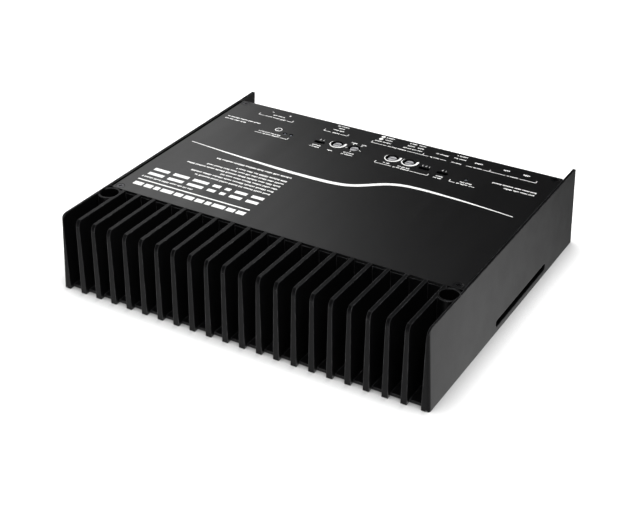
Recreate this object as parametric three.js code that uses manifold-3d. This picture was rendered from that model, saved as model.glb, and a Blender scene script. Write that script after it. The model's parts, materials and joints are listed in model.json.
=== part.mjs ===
// A compact class-D car amplifier: a finned die-cast case with a screwed cover and bottom plate, two
// circuit boards, set-screw terminals, pull-off plugs, jacks, and trim controls reached through the cover.
// Millimetres. +X runs along the row of fins, -Y is the finned side, +Y is the connector side, +Z is up.
// The origin is at the bottom centre of the case.
import * as THREE from "three";
import { mergeVertices } from "three/addons/utils/BufferGeometryUtils.js";
import Module from "manifold-3d";

const wasm = await Module();
wasm.setup();

// Case
const WIDTH = 260.4; // across the foot of the side walls
const HEIGHT = 53;
const FRONT = -110;
const BACK = 110; // tip of the ears
const BACK_FOOT = 106; // the ears slope forwards to here at their foot
const SIDE_DRAFT = 3.2; // how far each side wall leans in over its height
const FRONT_DRAFT = 1.2; // the same for the fins' front faces
const CORNER_RADIUS = 2;
const CORNER_NOTCH = { inner: 127.7, outer: 128.9, back: -106.5, top: 0.9 }; // under each front corner
const NOSE_RADIUS = 5; // rounded top front corner of the fins and walls
const EAR_RADIUS = 0.8;
const WALL_INNER = 123.2; // inner face of each side wall, from the centre
const WALL_FOOT = 124.9; // the same beside the fins, at the foot and at the top
const WALL_TOP = 125.7;
const RIM_INNER = 125.2; // inner face of the thin rim beside the cover
const GAP = 0.3; // clearance between pieces that touch

// Fins
const FIN_COUNT = 20;
const FIN_PITCH = 12.01;
const FIN_TOP = 52.2;
const FIN_HALF_TOP = 1.2;
const FIN_HALF_BOTTOM = 2;
const FLOOR_SETBACK = 3.5; // the floor between the fins stops short of their feet
const FLOOR_THICKNESS = 2;

// Compartment behind the fins
const BULKHEAD_FRONT = -62;
const BULKHEAD_BACK = -58.4;
const LEDGE = 50.7; // height of the shelf that carries the cover
const COVER_FRONT = -61.4;
const COVER_BACK = 94;
const COVER_THICKNESS = 1.2;
const COVER_TOP = LEDGE + GAP + COVER_THICKNESS;
const COVER_HALF = 124.4;
const PANEL_INNER = 92.4; // connector panel, inner and outer face
const PANEL_OUTER = 93.9;
const PLATE_THICKNESS = 1.5;
const PLATE_BACK = 105.6;
const VENT = { front: -19.5, back: 59.5, bottom: 3.5, top: 8.1, radius: 2.2 };
const POST_INNER = 116.8; // inner side of the four posts that take the cover and plate screws
const POST_DEPTH = 5.4;

// Screw wells and fixings
const WELL = { x: 120.2, y: -69.2, outer: 7.3, inner: 6.05, floor: 4, bolt: 2.6 };
const COVER_SCREWS = [
  [-120.3, -57.8],
  [120.3, -57.8],
  [-120.3, 90.3],
  [120.3, 90.3],
];
const REAR_BOLTS = { x: 117, y: 99.4, radius: 2.75, pad: 4.7, padHeight: 0.3 };

// Boards
const BOARD_BOTTOM = 7.5;
const BOARD_THICKNESS = 1.6;
const BOARD_TOP = BOARD_BOTTOM + BOARD_THICKNESS;
const ON_BOARD = BOARD_TOP + GAP;
const BOARD_FRONT = -56.9;
const BOARD_BACK = 88.8;
const CONTROL_BOTTOM = 38;
const CONTROL_TOP = CONTROL_BOTTOM + BOARD_THICKNESS;
const ON_CONTROL = CONTROL_TOP + GAP;

// Controls seen through the cover
const DIAL_Y = 65.6;
const SWITCH_Y = 61.9;
const LAMP_Y = 61.4;
const DIALS = { gain: 26.5, crossover: 13.7, selector: -15.6, bass: -28.8 };
const SWITCHES = { phase: 52.5, filter: 39.2, remote: -40.8 };
const LAMPS = { signal: 70, power: -63.7, protect: -68.7 };
const DIAL_RADIUS = 3.1;
const DIAL_HOLE = 4.2;
const LAMP_RADIUS = 1.4;
const SLOT = { width: 8.2, depth: 3.2 };

// Connectors, as places along the connector side
const POWER_X = 95;
const SPEAKER_X = -87.5;
const TERMINAL = { pitch: 14.2, width: 28.6, top: 28.5, front: 80.8, back: 104.8 };
const TERMINAL_BORE = { z: 17.6, radius: 4.6, end: 84.8 };
const CLAMP_SCREW = { y: 99.2, radius: 3.6, length: 7.2, top: 28 };
const REMOTE_X = 69.6;
const SPEAKER_INPUT_X = -38.5;
const PLUG = { width: 15.6, height: 10, wall: 1, floor: 84.8, step: 95.1, back: 104.8, screwY: 99.4 };
const HEADER = { front: 80.8, back: 94.8 };
const JACKS = { level: 54.2, link: 41 };
const JACK = { width: 12, height: 13.4, front: 76.8, floor: 82.8, back: 94.3 };
const PHONO = { input: 20.4, output: -2 };
const PHONO_HEIGHTS = { lower: 17.6, upper: 32 };
const PHONO_RADIUS = 4.15;
const PHONO_BASE = 89.2;
const PHONO_LENGTH = 13.2;
const PHONO_HOUSING = { half: 7, front: 76.8, top: 39.4 };

// Power parts
const TRANSISTORS = [-75, -25, 25, 75];
const TRANSISTOR_Y = -54.9;
const CLAMP_PILLARS = [-50, 0, 50];
const CLAMP_Z = 34;
const CLAMP_FRONT = -52.3;
const CLAMP_THICKNESS = 3;
const PAD_THICKNESS = 0.5;
const CAPACITORS = [8, 36, 64];

const X_AXIS = new THREE.Vector3(1, 0, 0);
const Y_AXIS = new THREE.Vector3(0, 1, 0);
const Z_AXIS = new THREE.Vector3(0, 0, 1);

// ---- Solids ----------------------------------------------------------------------------------------

function toSolid(geometry) {
  const bare = geometry.clone();
  bare.deleteAttribute("normal");
  bare.deleteAttribute("uv");
  const merged = mergeVertices(bare, 1e-4);
  return new wasm.Manifold(
    new wasm.Mesh({
      numProp: 3,
      vertProperties: new Float32Array(merged.attributes.position.array),
      triVerts: new Uint32Array(merged.index.array),
    }),
  );
}

function toGeometry(solid) {
  const mesh = solid.getMesh();
  const geometry = new THREE.BufferGeometry();
  geometry.setAttribute("position", new THREE.BufferAttribute(mesh.vertProperties, 3));
  geometry.setIndex(new THREE.BufferAttribute(mesh.triVerts, 1));
  geometry.computeVertexNormals();
  return geometry;
}

function join(...geometries) {
  return toGeometry(geometries.map(toSolid).reduce((whole, piece) => whole.add(piece)));
}

function cut(geometry, ...tools) {
  return toGeometry(tools.map(toSolid).reduce((whole, tool) => whole.subtract(tool), toSolid(geometry)));
}

function common(first, second) {
  return toGeometry(toSolid(first).intersect(toSolid(second)));
}

// A box between two opposite corners.
function box(x0, x1, y0, y1, z0, z1) {
  const geometry = new THREE.BoxGeometry(x1 - x0, y1 - y0, z1 - z0);
  return geometry.translate((x0 + x1) / 2, (y0 + y1) / 2, (z0 + z1) / 2);
}

// An upright cylinder.
function post(x, y, radius, z0, z1, sides = 24) {
  const geometry = new THREE.CylinderGeometry(radius, radius, z1 - z0, sides);
  return geometry.rotateX(Math.PI / 2).translate(x, y, (z0 + z1) / 2);
}

// A cylinder that lies along Y.
function bar(x, z, radius, y0, y1, sides = 20) {
  const geometry = new THREE.CylinderGeometry(radius, radius, y1 - y0, sides);
  return geometry.translate(x, (y0 + y1) / 2, z);
}

// A turned shape about Z, from [radius, height] points listed from the bottom up, on the outside.
function turned(profile, sides = 20) {
  const points = profile.map(([radius, height]) => new THREE.Vector2(radius, height));
  return new THREE.LatheGeometry(points, sides).rotateX(Math.PI / 2);
}

// A flat outline with its holes, extruded upwards from z0.
function sheet(shape, z0, thickness, curveSegments = 2) {
  const settings = { depth: thickness, bevelEnabled: false, curveSegments };
  return new THREE.ExtrudeGeometry(shape, settings).translate(0, 0, z0);
}

// An outline in Y and Z, extruded along X between x0 and x1.
function sideways(shape, x0, x1, curveSegments = 2) {
  const settings = { depth: x1 - x0, bevelEnabled: false, curveSegments };
  const geometry = new THREE.ExtrudeGeometry(shape, settings);
  geometry.applyMatrix4(new THREE.Matrix4().makeBasis(Y_AXIS, Z_AXIS, X_AXIS));
  return geometry.translate(x0, 0, 0);
}

// An outline in X and Z, extruded along Y between y0 and y1.
function lengthways(shape, y0, y1) {
  const geometry = new THREE.ExtrudeGeometry(shape, { depth: y1 - y0, bevelEnabled: false });
  geometry.applyMatrix4(new THREE.Matrix4().makeBasis(X_AXIS, Z_AXIS, Y_AXIS.clone().negate()));
  return geometry.translate(0, y1, 0);
}

function polygon(points) {
  return new THREE.Shape(points.map(([x, y]) => new THREE.Vector2(x, y)));
}

// A rectangle with rounded corners.
function roundedRectangle(x0, x1, y0, y1, radius, kind = THREE.Shape) {
  const outline = new kind();
  outline.moveTo(x0 + radius, y0);
  outline.lineTo(x1 - radius, y0);
  outline.absarc(x1 - radius, y0 + radius, radius, -Math.PI / 2, 0);
  outline.lineTo(x1, y1 - radius);
  outline.absarc(x1 - radius, y1 - radius, radius, 0, Math.PI / 2);
  outline.lineTo(x0 + radius, y1);
  outline.absarc(x0 + radius, y1 - radius, radius, Math.PI / 2, Math.PI);
  outline.lineTo(x0, y0 + radius);
  outline.absarc(x0 + radius, y0 + radius, radius, Math.PI, Math.PI * 1.5);
  return outline;
}

// ---- Finishes --------------------------------------------------------------------------------------

function finish(color, roughness, metalness = 0) {
  return () => new THREE.MeshStandardMaterial({ color, roughness, metalness });
}

const blackCasting = finish(0x1c1c1d, 0.5, 0.4);
const blackSheet = finish(0x202022, 0.45, 0.4);
const blackPlastic = finish(0x161617, 0.55);
const greyPlastic = finish(0x9a9a9c, 0.5);
const whitePlastic = finish(0xd8d8d6, 0.45);
const greenBoard = finish(0x1f5a38, 0.4);
const brightSteel = finish(0xa8aaad, 0.3, 1);
const blackSteel = finish(0x2a2a2c, 0.4, 0.9);
const brass = finish(0xc2a15a, 0.3, 1);
const copperWinding = finish(0xa05a34, 0.35, 0.6);
const aluminium = finish(0xb9bbbd, 0.4, 1);
const siliconePad = finish(0xb6b3ab, 0.8);
const clearLens = finish(0x9fb4d0, 0.15);

function part(group, name, geometry, material, x = 0, y = 0, z = 0) {
  const mesh = new THREE.Mesh(geometry, material());
  mesh.name = name;
  mesh.position.set(x, y, z);
  group.add(mesh);
}

// ---- Case ------------------------------------------------------------------------------------------

// The outer form of the casting: a block with rounded front corners whose sides lean in, cut to a
// side view with a rounded nose at the front and sloping ears at the back.
function castingEnvelope() {
  const plan = roundedRectangle(-WIDTH / 2, WIDTH / 2, FRONT, BACK + 2 * CORNER_RADIUS, CORNER_RADIUS);
  const block = sheet(plan, 0, HEIGHT, 3);
  const points = block.attributes.position;
  for (let i = 0; i < points.count; i++) {
    const rise = points.getZ(i) / HEIGHT;
    points.setX(i, points.getX(i) * (1 - (rise * SIDE_DRAFT * 2) / WIDTH));
    if (points.getY(i) < 0) {
      points.setY(i, points.getY(i) + rise * FRONT_DRAFT);
    }
  }
  const nose = FRONT + FRONT_DRAFT;
  const profile = new THREE.Shape();
  profile.moveTo(FRONT - 1, -1);
  profile.lineTo(BACK_FOOT, -1);
  profile.lineTo(BACK_FOOT, 0);
  profile.lineTo(BACK, HEIGHT - EAR_RADIUS);
  profile.absarc(BACK - EAR_RADIUS, HEIGHT - EAR_RADIUS, EAR_RADIUS, 0, Math.PI / 2);
  profile.lineTo(0, HEIGHT + 1);
  profile.lineTo(nose + NOSE_RADIUS, HEIGHT);
  profile.absarc(nose + NOSE_RADIUS, HEIGHT - NOSE_RADIUS, NOSE_RADIUS, Math.PI / 2, Math.PI);
  profile.lineTo(FRONT - 1, HEIGHT - NOSE_RADIUS);
  return common(block, sideways(profile, -WIDTH / 2 - 1, WIDTH / 2 + 1, 3));
}

function fin(index) {
  const x = (index - (FIN_COUNT - 1) / 2) * FIN_PITCH;
  const section = polygon([
    [x - FIN_HALF_BOTTOM, 0],
    [x + FIN_HALF_BOTTOM, 0],
    [x + FIN_HALF_TOP, FIN_TOP],
    [x - FIN_HALF_TOP, FIN_TOP],
  ]);
  return lengthways(section, FRONT - 1, BULKHEAD_FRONT + 1);
}

// A side wall beside the fins, thinner towards its top.
function sideWall(side) {
  const outer = WIDTH / 2 + 1;
  const section = polygon([
    [WALL_FOOT * side, 0],
    [outer * side, 0],
    [outer * side, HEIGHT + 1],
    [WALL_TOP * side, HEIGHT + 1],
  ]);
  return lengthways(section, FRONT - 1, BULKHEAD_FRONT + 1);
}

// The air slot low in a side wall.
function ventCut(side) {
  const outline = roundedRectangle(VENT.front, VENT.back, VENT.bottom, VENT.top, VENT.radius);
  const [inner, outer] = [WALL_INNER - 1, WIDTH / 2 + 1];
  return side > 0 ? sideways(outline, inner, outer) : sideways(outline, -outer, -inner);
}

function heatsinkChassis() {
  const pieces = [
    box(-RIM_INNER, RIM_INNER, BULKHEAD_FRONT, BULKHEAD_BACK, 0, LEDGE),
    box(-RIM_INNER, RIM_INNER, FRONT + FLOOR_SETBACK, BULKHEAD_FRONT + 1, 0, FLOOR_THICKNESS),
  ];
  for (let index = 0; index < FIN_COUNT; index++) {
    pieces.push(fin(index));
  }
  for (const side of [-1, 1]) {
    const wall = [WALL_INNER * side, (WIDTH / 2 + 1) * side].sort((a, b) => a - b);
    const web = [POST_INNER * side, (WALL_INNER + 1) * side].sort((a, b) => a - b);
    const postFoot = PLATE_THICKNESS + GAP;
    const panelGap = PANEL_INNER - GAP;
    pieces.push(sideWall(side));
    pieces.push(box(...wall, BULKHEAD_FRONT, BACK + 1, 0, HEIGHT + 1));
    pieces.push(post(WELL.x * side, WELL.y, WELL.outer, 0, FIN_TOP));
    pieces.push(box(...web, BULKHEAD_BACK - 1, BULKHEAD_BACK + POST_DEPTH, postFoot, LEDGE));
    pieces.push(box(...web, panelGap - POST_DEPTH, panelGap, postFoot, LEDGE));
  }
  for (const x of CLAMP_PILLARS) {
    pieces.push(bar(x, CLAMP_Z, 3.5, BULKHEAD_BACK - 1, CLAMP_FRONT - GAP, 12));
  }
  const cuts = [
    box(-RIM_INNER, RIM_INNER, COVER_FRONT - GAP, BACK + 1, LEDGE, HEIGHT + 1),
    box(-RIM_INNER, RIM_INNER, PANEL_INNER - GAP, BACK + 1, -1, HEIGHT + 1),
    ventCut(-1),
    ventCut(1),
  ];
  for (const side of [-1, 1]) {
    const notch = [CORNER_NOTCH.inner * side, CORNER_NOTCH.outer * side].sort((a, b) => a - b);
    cuts.push(box(...notch, FRONT - 1, CORNER_NOTCH.back, -1, CORNER_NOTCH.top));
    cuts.push(post(WELL.x * side, WELL.y, WELL.inner, WELL.floor, HEIGHT + 1));
    cuts.push(post(WELL.x * side, WELL.y, WELL.bolt, -1, WELL.floor + 1, 12));
  }
  for (const [x, y] of COVER_SCREWS) {
    cuts.push(post(x, y, 1.55, LEDGE - 9, LEDGE + 1, 8));
  }
  return cut(common(join(...pieces), castingEnvelope()), ...cuts);
}

function topCover() {
  const outline = roundedRectangle(-COVER_HALF, COVER_HALF, COVER_FRONT, COVER_BACK, 0.6);
  const [below, above] = [LEDGE, COVER_TOP + 1];
  for (const x of Object.values(SWITCHES)) {
    const [halfWidth, halfDepth] = [SLOT.width / 2, SLOT.depth / 2];
    const [y0, y1] = [SWITCH_Y - halfDepth, SWITCH_Y + halfDepth];
    outline.holes.push(roundedRectangle(x - halfWidth, x + halfWidth, y0, y1, 0.8, THREE.Path));
  }
  const holes = [
    ...Object.values(DIALS).map((x) => post(x, DIAL_Y, DIAL_HOLE, below, above)),
    ...Object.values(LAMPS).map((x) => post(x, LAMP_Y, LAMP_RADIUS + GAP, below, above, 12)),
  ];
  const countersink = [
    [0, COVER_TOP - COVER_THICKNESS - 1],
    [1.6, COVER_TOP - COVER_THICKNESS - 1],
    [1.6, COVER_TOP - COVER_THICKNESS],
    [3, COVER_TOP - 0.2],
    [3, COVER_TOP + 1],
    [0, COVER_TOP + 1],
  ];
  for (const [x, y] of COVER_SCREWS) {
    holes.push(turned(countersink, 16).translate(x, y, 0));
  }
  return cut(sheet(outline, LEDGE + GAP, COVER_THICKNESS), ...holes);
}

// The plate closes the compartment from below and runs on between the two ears as the rear mounting
// flange, with a low raised pad round each bolt hole. Pressed-in studs carry the main board.
function bottomPlate() {
  const half = WALL_INNER - GAP;
  const flange = RIM_INNER - GAP;
  const right = [
    [half, BULKHEAD_BACK + GAP],
    [half, PANEL_INNER],
    [flange, PANEL_INNER],
    [flange, PLATE_BACK],
  ];
  const left = right.map(([x, y]) => [-x, y]).reverse();
  const raised = [];
  for (const x of [-106, 0, 106]) {
    for (const y of [-40, 76]) {
      raised.push(post(x, y, 3, PLATE_THICKNESS - 0.5, BOARD_BOTTOM - GAP, 8));
    }
  }
  const bolts = [];
  for (const x of [-REAR_BOLTS.x, REAR_BOLTS.x]) {
    const padTop = PLATE_THICKNESS + REAR_BOLTS.padHeight;
    raised.push(post(x, REAR_BOLTS.y, REAR_BOLTS.pad, PLATE_THICKNESS - 0.5, padTop, 16));
    bolts.push(post(x, REAR_BOLTS.y, REAR_BOLTS.radius, -1, padTop + 1, 16));
  }
  return cut(join(sheet(polygon([...right, ...left]), 0, PLATE_THICKNESS), ...raised), ...bolts);
}

function connectorPanel() {
  const outline = polygon([
    [-WALL_INNER + GAP, PLATE_THICKNESS + GAP],
    [WALL_INNER - GAP, PLATE_THICKNESS + GAP],
    [WALL_INNER - GAP, LEDGE],
    [-WALL_INNER + GAP, LEDGE],
  ]);
  const opening = (x, width, top) => {
    const half = width / 2 + GAP;
    return box(x - half, x + half, PANEL_INNER - 1, PANEL_OUTER + 1, ON_BOARD - GAP, top + GAP);
  };
  const openings = [
    opening(POWER_X, TERMINAL.width, TERMINAL.top),
    opening(SPEAKER_X, TERMINAL.width, TERMINAL.top),
    opening(REMOTE_X, PLUG.width, ON_BOARD + PLUG.height),
    opening(SPEAKER_INPUT_X, PLUG.width, ON_BOARD + PLUG.height),
    opening(JACKS.level, JACK.width, ON_BOARD + JACK.height),
    opening(JACKS.link, JACK.width, ON_BOARD + JACK.height),
  ];
  for (const x of Object.values(PHONO)) {
    for (const z of Object.values(PHONO_HEIGHTS)) {
      openings.push(bar(x, z, PHONO_RADIUS + GAP, PANEL_INNER - 1, PANEL_OUTER + 1));
    }
  }
  return cut(lengthways(outline, PANEL_INNER, PANEL_OUTER), ...openings);
}

// A countersunk screw with a cross recess, whose head lies flush with the cover.
function coverScrew() {
  const body = turned([
    [0, -9],
    [1.3, -9],
    [1.3, -1.25],
    [2.6, -0.15],
    [2.6, -0.05],
    [0, -0.05],
  ]);
  return cut(body, box(-1.5, 1.5, -0.3, 0.3, -1.1, 1), box(-0.3, 0.3, -1.5, 1.5, -1.1, 1));
}

function makeCase() {
  const group = new THREE.Group();
  part(group, "heatsink_chassis", heatsinkChassis(), blackCasting);
  part(group, "top_cover", topCover(), blackSheet);
  part(group, "bottom_plate", bottomPlate(), blackSheet);
  part(group, "connector_panel", connectorPanel(), blackSheet);
  COVER_SCREWS.forEach(([x, y], index) => {
    part(group, `cover_screw_${index + 1}`, coverScrew(), blackSteel, x, y, COVER_TOP);
  });
  return group;
}

// ---- Power section ---------------------------------------------------------------------------------

// A ring core with its winding, as one closed ring with rounded edges.
function woundRing(outer, inner, height) {
  const edge = Math.min(height, outer - inner) * 0.2;
  return turned(
    [
      [inner + edge, 0],
      [outer - edge, 0],
      [outer, edge],
      [outer, height - edge],
      [outer - edge, height],
      [inner + edge, height],
      [inner, height - edge],
      [inner, edge],
      [inner + edge, 0],
    ],
    24,
  );
}

function capacitor(radius, height) {
  return turned([
    [0, 0],
    [radius, 0],
    [radius, 2.2],
    [radius - 0.6, 2.8],
    [radius, 3.4],
    [radius, height - 0.8],
    [radius - 0.8, height],
    [0, height],
  ]);
}

// A flat power transistor that stands on three legs.
function transistor() {
  const legs = [-5.4, 0, 5.4].map((x) => box(x - 0.6, x + 0.6, -0.3, 0.3, 0, 14));
  return join(box(-7.8, 7.8, -2.3, 2.3, 13, 33.5), ...legs);
}

// The bar that presses the transistors against the heat sink, screwed to the clamp pillars.
function clampBar() {
  const back = CLAMP_FRONT + CLAMP_THICKNESS;
  const holes = CLAMP_PILLARS.map((x) => bar(x, CLAMP_Z, 1.7, CLAMP_FRONT - 1, back + 1, 12));
  return cut(box(-88, 88, CLAMP_FRONT, back, CLAMP_Z - 5, CLAMP_Z + 5), ...holes);
}

function thermalPad() {
  const front = BULKHEAD_BACK + GAP;
  const back = front + PAD_THICKNESS;
  const holes = CLAMP_PILLARS.map((x) => bar(x, CLAMP_Z, 3.9, front - 1, back + 1, 12));
  return cut(box(-95, 95, front, back, 20, 45), ...holes);
}

function makePowerSection() {
  const group = new THREE.Group();
  const board = box(-115, 115, BOARD_FRONT, BOARD_BACK, BOARD_BOTTOM, BOARD_TOP);
  part(group, "main_board", board, greenBoard);
  part(group, "power_transformer", woundRing(31, 10, 30), copperWinding, -60, 6, ON_BOARD);
  part(group, "output_inductor", woundRing(18, 7, 18), copperWinding, 40, 26, ON_BOARD);
  part(group, "input_choke", woundRing(14, 6, 14), copperWinding, 95, 60, ON_BOARD);
  CAPACITORS.forEach((x, index) => {
    part(group, `supply_capacitor_${index + 1}`, capacitor(12.5, 35), blackPlastic, x, -15, ON_BOARD);
  });
  TRANSISTORS.forEach((x, index) => {
    part(group, `power_transistor_${index + 1}`, transistor(), blackPlastic, x, TRANSISTOR_Y, ON_BOARD);
  });
  part(group, "thermal_pad", thermalPad(), siliconePad);
  part(group, "clamp_bar", clampBar(), brightSteel);
  return group;
}

// ---- Controls --------------------------------------------------------------------------------------

function dialBody() {
  const body = box(-5.2, 5.2, -5.2, 5.2, 0, 6.6);
  return cut(body, post(0, 0, DIAL_RADIUS + 0.4, 2.6, 8));
}

// A slotted adjuster that turns in its body, with its top just below the cover's face.
function dialShaft(height) {
  const body = turned([
    [0, 0],
    [DIAL_RADIUS, 0],
    [DIAL_RADIUS, height - 0.3],
    [DIAL_RADIUS - 0.3, height],
    [0, height],
  ]);
  return cut(body, box(-DIAL_RADIUS - 1, DIAL_RADIUS + 1, -0.55, 0.55, height - 1.3, height + 1));
}

function switchBody() {
  const body = box(-5.9, 5.9, -2.8, 2.8, 0, 6.5);
  return cut(body, box(-4, 4, -1.3, 1.3, 3.2, 8));
}

// The sliding button of a switch, with three grip grooves on top.
function switchKnob() {
  const body = box(-1.7, 1.7, -1, 1, 0, 7.4);
  const grooves = [-0.95, 0, 0.95].map((x) => box(x - 0.22, x + 0.22, -2, 2, 7, 8));
  return cut(body, ...grooves);
}

function lightPipe(height) {
  const dome = Array.from({ length: 5 }, (_, step) => {
    const angle = (step / 4) * (Math.PI / 2);
    return [LAMP_RADIUS * Math.cos(angle), height - LAMP_RADIUS + LAMP_RADIUS * Math.sin(angle)];
  });
  dome[4][0] = 0;
  return turned(
    [[0, 0], [LAMP_RADIUS + 0.5, 0], [LAMP_RADIUS + 0.5, 1], [LAMP_RADIUS, 1.5], ...dome],
    10,
  );
}

function makeControls() {
  const group = new THREE.Group();
  part(group, "control_board", box(-84, 78, 53, 75.6, CONTROL_BOTTOM, CONTROL_TOP), greenBoard);
  part(group, "board_link", box(-20, 20, 54, 57, ON_BOARD, CONTROL_BOTTOM - GAP), blackPlastic);
  [-52, 60].forEach((x, index) => {
    const standoff = post(x, 57, 2.8, ON_BOARD, CONTROL_BOTTOM - GAP, 6);
    part(group, `board_standoff_${index + 1}`, standoff, brass);
  });
  const shaftBottom = ON_CONTROL + 3;
  for (const [name, x] of Object.entries(DIALS)) {
    const turnedPiece = name === "selector" ? "selector_shaft" : `${name}_dial`;
    part(group, `${name}_body`, dialBody(), blackPlastic, x, DIAL_Y, ON_CONTROL);
    part(group, turnedPiece, dialShaft(COVER_TOP - 0.5 - shaftBottom), greyPlastic, x, DIAL_Y, shaftBottom);
  }
  for (const [name, x] of Object.entries(SWITCHES)) {
    part(group, `${name}_switch_body`, switchBody(), blackPlastic, x, SWITCH_Y, ON_CONTROL);
    part(group, `${name}_switch_knob`, switchKnob(), blackPlastic, x, SWITCH_Y, ON_CONTROL + 3.5);
  }
  for (const [name, x] of Object.entries(LAMPS)) {
    part(group, `${name}_lamp`, lightPipe(COVER_TOP - 0.1 - ON_CONTROL), clearLens, x, LAMP_Y, ON_CONTROL);
  }
  return group;
}

// ---- Connectors ------------------------------------------------------------------------------------

// A two-way set-screw block: round wire entries from behind, and screw wells from above.
function terminalBlock() {
  const half = TERMINAL.width / 2;
  const { z, radius, end } = TERMINAL_BORE;
  const cuts = [];
  for (const x of [-TERMINAL.pitch / 2, TERMINAL.pitch / 2]) {
    cuts.push(bar(x, z, radius, end, TERMINAL.back + 1));
    cuts.push(post(x, CLAMP_SCREW.y, CLAMP_SCREW.radius + 0.3, z, TERMINAL.top + 1));
  }
  return cut(box(-half, half, TERMINAL.front, TERMINAL.back, ON_BOARD, TERMINAL.top), ...cuts);
}

// A set screw with a hexagon socket.
function clampScrew() {
  const { radius, length } = CLAMP_SCREW;
  const body = turned([
    [0, -length],
    [radius - 1, -length],
    [radius, 1 - length],
    [radius, -0.4],
    [radius - 0.4, 0],
    [0, 0],
  ]);
  return cut(body, post(0, 0, 2.3, -4, 1, 6));
}

// The fixed half of a pull-off terminal: a shroud open towards the back.
function plugHeader() {
  const half = PLUG.width / 2;
  const { wall, height } = PLUG;
  const shroud = box(-half, half, HEADER.front, HEADER.back, 0, height);
  return cut(shroud, box(-half + wall, half - wall, PLUG.floor, HEADER.back + 1, wall, height - wall));
}

// The pull-off half, with a round wire entry and a screw well for each way.
function terminalPlug(ways) {
  const half = PLUG.width / 2;
  const inset = PLUG.wall + GAP;
  const tongueHalf = half - inset;
  const tongueBack = PLUG.step + 1;
  const tongue = box(-tongueHalf, tongueHalf, PLUG.floor + GAP, tongueBack, inset, PLUG.height - inset);
  const grip = box(-half, half, PLUG.step, PLUG.back, 0, PLUG.height);
  const pitch = PLUG.width / ways;
  const cuts = [];
  for (let way = 0; way < ways; way++) {
    const x = (way - (ways - 1) / 2) * pitch;
    cuts.push(bar(x, PLUG.height * 0.4, pitch * 0.3, PLUG.back - 7, PLUG.back + 1, 12));
    cuts.push(post(x, PLUG.screwY, pitch * 0.32, PLUG.height - 2, PLUG.height + 1, 12));
  }
  return cut(join(tongue, grip), ...cuts);
}

// A modular socket with its latch notch above the mouth.
function modularJack() {
  const half = JACK.width / 2;
  const shell = box(-half, half, JACK.front, JACK.back, 0, JACK.height);
  const mouth = box(-4.8, 4.8, JACK.floor, JACK.back + 1, 2, 9.2);
  const notch = box(-1.8, 1.8, JACK.floor, JACK.back + 1, 8, 11.4);
  return cut(shell, mouth, notch);
}

function phonoHousing() {
  const { half, front, top } = PHONO_HOUSING;
  const block = box(-half, half, front, PANEL_INNER - GAP, ON_BOARD, top);
  const heights = Object.values(PHONO_HEIGHTS);
  const seats = heights.map((z) => bar(0, z, PHONO_RADIUS + GAP, PHONO_BASE - GAP, PANEL_INNER));
  return cut(block, ...seats);
}

// A phono jack: a barrel with a chamfered mouth and a centre hole, pointing along +Y.
function phonoJack() {
  const profile = [
    [0, 0],
    [PHONO_RADIUS, 0],
    [PHONO_RADIUS, PHONO_LENGTH - 0.6],
    [PHONO_RADIUS - 0.5, PHONO_LENGTH],
    [1.7, PHONO_LENGTH],
    [1.7, 5],
    [0, 5],
  ];
  return turned(profile).rotateX(-Math.PI / 2);
}

function makeConnectors() {
  const group = new THREE.Group();
  for (const [name, x] of [["power", POWER_X], ["speaker", SPEAKER_X]]) {
    part(group, `${name}_terminal_block`, terminalBlock(), blackPlastic, x);
    [-1, 1].forEach((side, index) => {
      const screwX = x + (side * TERMINAL.pitch) / 2;
      const place = [screwX, CLAMP_SCREW.y, CLAMP_SCREW.top];
      part(group, `${name}_clamp_screw_${index + 1}`, clampScrew(), brightSteel, ...place);
    });
  }
  for (const [name, x, ways] of [["remote", REMOTE_X, 3], ["speaker_input", SPEAKER_INPUT_X, 4]]) {
    part(group, `${name}_header`, plugHeader(), blackPlastic, x, 0, ON_BOARD);
    part(group, `${name}_plug`, terminalPlug(ways), blackPlastic, x, 0, ON_BOARD);
  }
  for (const [name, x] of Object.entries(JACKS)) {
    part(group, `${name}_jack`, modularJack(), blackPlastic, x, 0, ON_BOARD);
  }
  for (const [name, x] of Object.entries(PHONO)) {
    part(group, `phono_${name}_housing`, phonoHousing(), blackPlastic, x);
    for (const [level, z] of Object.entries(PHONO_HEIGHTS)) {
      part(group, `phono_${name}_${level}`, phonoJack(), brass, x, PHONO_BASE, z);
    }
  }
  return group;
}

const amplifier = new THREE.Group();
amplifier.add(makeCase(), makePowerSection(), makeControls(), makeConnectors());

export default amplifier;
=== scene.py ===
"""The looks of a compact finned car amplifier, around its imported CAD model. Metres; +Z is up."""

import json
import math
import random

import bmesh
import bpy
from mathutils import Matrix, Vector


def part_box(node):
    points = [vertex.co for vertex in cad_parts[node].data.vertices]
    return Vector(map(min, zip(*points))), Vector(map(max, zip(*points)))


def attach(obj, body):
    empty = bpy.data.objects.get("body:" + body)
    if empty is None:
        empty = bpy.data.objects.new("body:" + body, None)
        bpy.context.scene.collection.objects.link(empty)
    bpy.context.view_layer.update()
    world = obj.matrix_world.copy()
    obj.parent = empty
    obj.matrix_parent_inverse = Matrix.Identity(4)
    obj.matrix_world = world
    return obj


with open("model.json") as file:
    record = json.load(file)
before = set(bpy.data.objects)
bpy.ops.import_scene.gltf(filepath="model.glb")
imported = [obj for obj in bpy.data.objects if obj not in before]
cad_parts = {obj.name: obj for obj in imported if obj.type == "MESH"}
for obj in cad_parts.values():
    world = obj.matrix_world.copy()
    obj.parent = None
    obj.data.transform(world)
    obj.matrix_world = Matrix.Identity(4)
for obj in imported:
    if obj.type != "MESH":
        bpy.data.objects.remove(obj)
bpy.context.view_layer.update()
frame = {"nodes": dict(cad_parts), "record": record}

MM = 0.001
BODY = "case"
INK_LIFT = 0.02 * MM  # gap between a printed mark and the sheet under it
INK_THICKNESS = 0.05 * MM


def centre(node):
    low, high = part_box(node)
    return (low + high) / 2


# ---- Camera, floor and light -----------------------------------------------------------------------

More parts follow.
